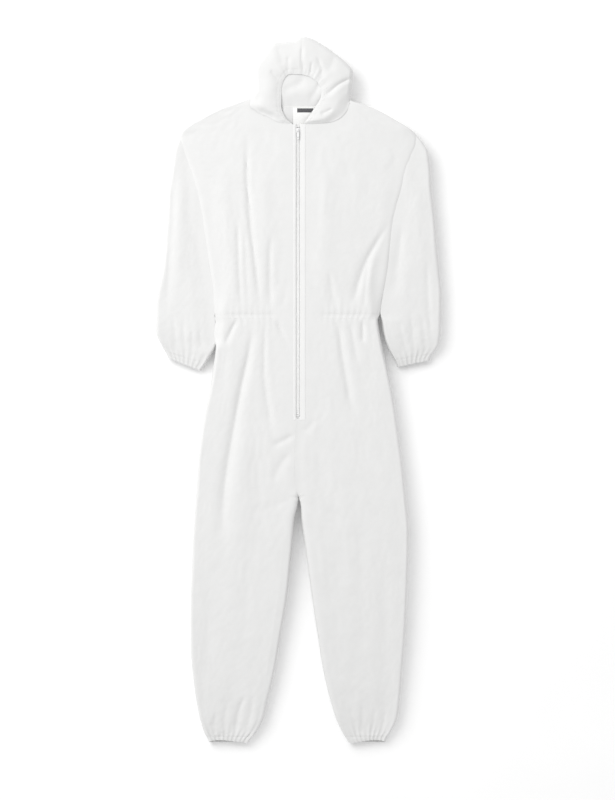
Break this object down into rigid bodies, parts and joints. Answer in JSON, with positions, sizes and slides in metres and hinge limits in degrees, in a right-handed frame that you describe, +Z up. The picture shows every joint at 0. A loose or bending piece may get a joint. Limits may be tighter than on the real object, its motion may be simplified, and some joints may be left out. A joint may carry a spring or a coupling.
{
  "type": "hooded protective coverall",
  "caption": "Hooded one-piece disposable protective suit laid flat on its back, with a front zip, elasticated hood, waist, wrists and ankles.",
  "frame": {"origin": "on the table under the middle of the suit, at the centre of its bounding box's base", "axes": "+Z up out of the table through the front, +Y from the ankles to the hood, +X to the wearer's left"},
  "size_m": [0.708, 1.74, 0.062],
  "materials": {
    "cloth": "matte spunbonded nonwoven, white",
    "elastic": "knitted elastic, white",
    "zip_tape": "woven polyester tape, white",
    "zip_coil": "moulded nylon, white",
    "zip_hardware": "moulded and enamelled, white",
    "label": "smooth printed tape, white with a plain grey band",
    "binding": "folded nonwoven binding, white"
  },
  "bodies": {
    "torso": {"left_front_panel": "cloth", "right_front_panel": "cloth", "left_back_panel": "cloth", "right_back_panel": "cloth", "left_zip_tape": "zip_tape", "right_zip_tape": "zip_tape", "left_zip_coil": "zip_coil", "right_zip_coil": "zip_coil", "zip_top_stops": "zip_hardware", "zip_bottom_stop": "zip_hardware", "waist_elastic": "elastic", "neck_binding": "binding", "neck_label": "label"},
    "hood": {"hood_left": "cloth", "hood_right": "cloth", "hood_face_elastic": "elastic"},
    "left_sleeve": {"left_sleeve_front": "cloth", "left_sleeve_back": "cloth", "left_wrist_elastic": "elastic"},
    "right_sleeve": {"right_sleeve_front": "cloth", "right_sleeve_back": "cloth", "right_wrist_elastic": "elastic"},
    "left_leg": {"left_leg_front": "cloth", "left_leg_back": "cloth", "left_ankle_elastic": "elastic"},
    "right_leg": {"right_leg_front": "cloth", "right_leg_back": "cloth", "right_ankle_elastic": "elastic"},
    "slider": {"zip_slider": "zip_hardware"},
    "pull": {"zip_pull_tab": "zip_hardware"}
  },
  "joints": [
    {"name": "hood_fold", "type": "hinge", "parent": "torso", "child": "hood", "pos_m": [0, 0.712, 0.052], "axis": [1, 0, 0], "range_deg": [0, 90]},
    {"name": "left_sleeve_swing", "type": "hinge", "parent": "torso", "child": "left_sleeve", "pos_m": [0.277, 0.565, 0.023], "axis": [0, 0, 1], "range_deg": [0, 80]},
    {"name": "right_sleeve_swing", "type": "hinge", "parent": "torso", "child": "right_sleeve", "pos_m": [-0.277, 0.565, 0.023], "axis": [0, 0, -1], "range_deg": [0, 80]},
    {"name": "left_leg_swing", "type": "hinge", "parent": "torso", "child": "left_leg", "pos_m": [0.137, -0.3, 0.025], "axis": [0, 0, 1], "range_deg": [0, 15]},
    {"name": "right_leg_swing", "type": "hinge", "parent": "torso", "child": "right_leg", "pos_m": [-0.137, -0.3, 0.025], "axis": [0, 0, -1], "range_deg": [0, 15]},
    {"name": "zip_slide", "type": "slide", "parent": "torso", "child": "slider", "axis": [0, -1, 0], "range_m": [0, 0.69]},
    {"name": "pull_flip", "type": "hinge", "parent": "slider", "child": "pull", "pos_m": [0, 0.643, 0.0532], "axis": [-1, 0, 0], "range_deg": [0, 170]}
  ]
}
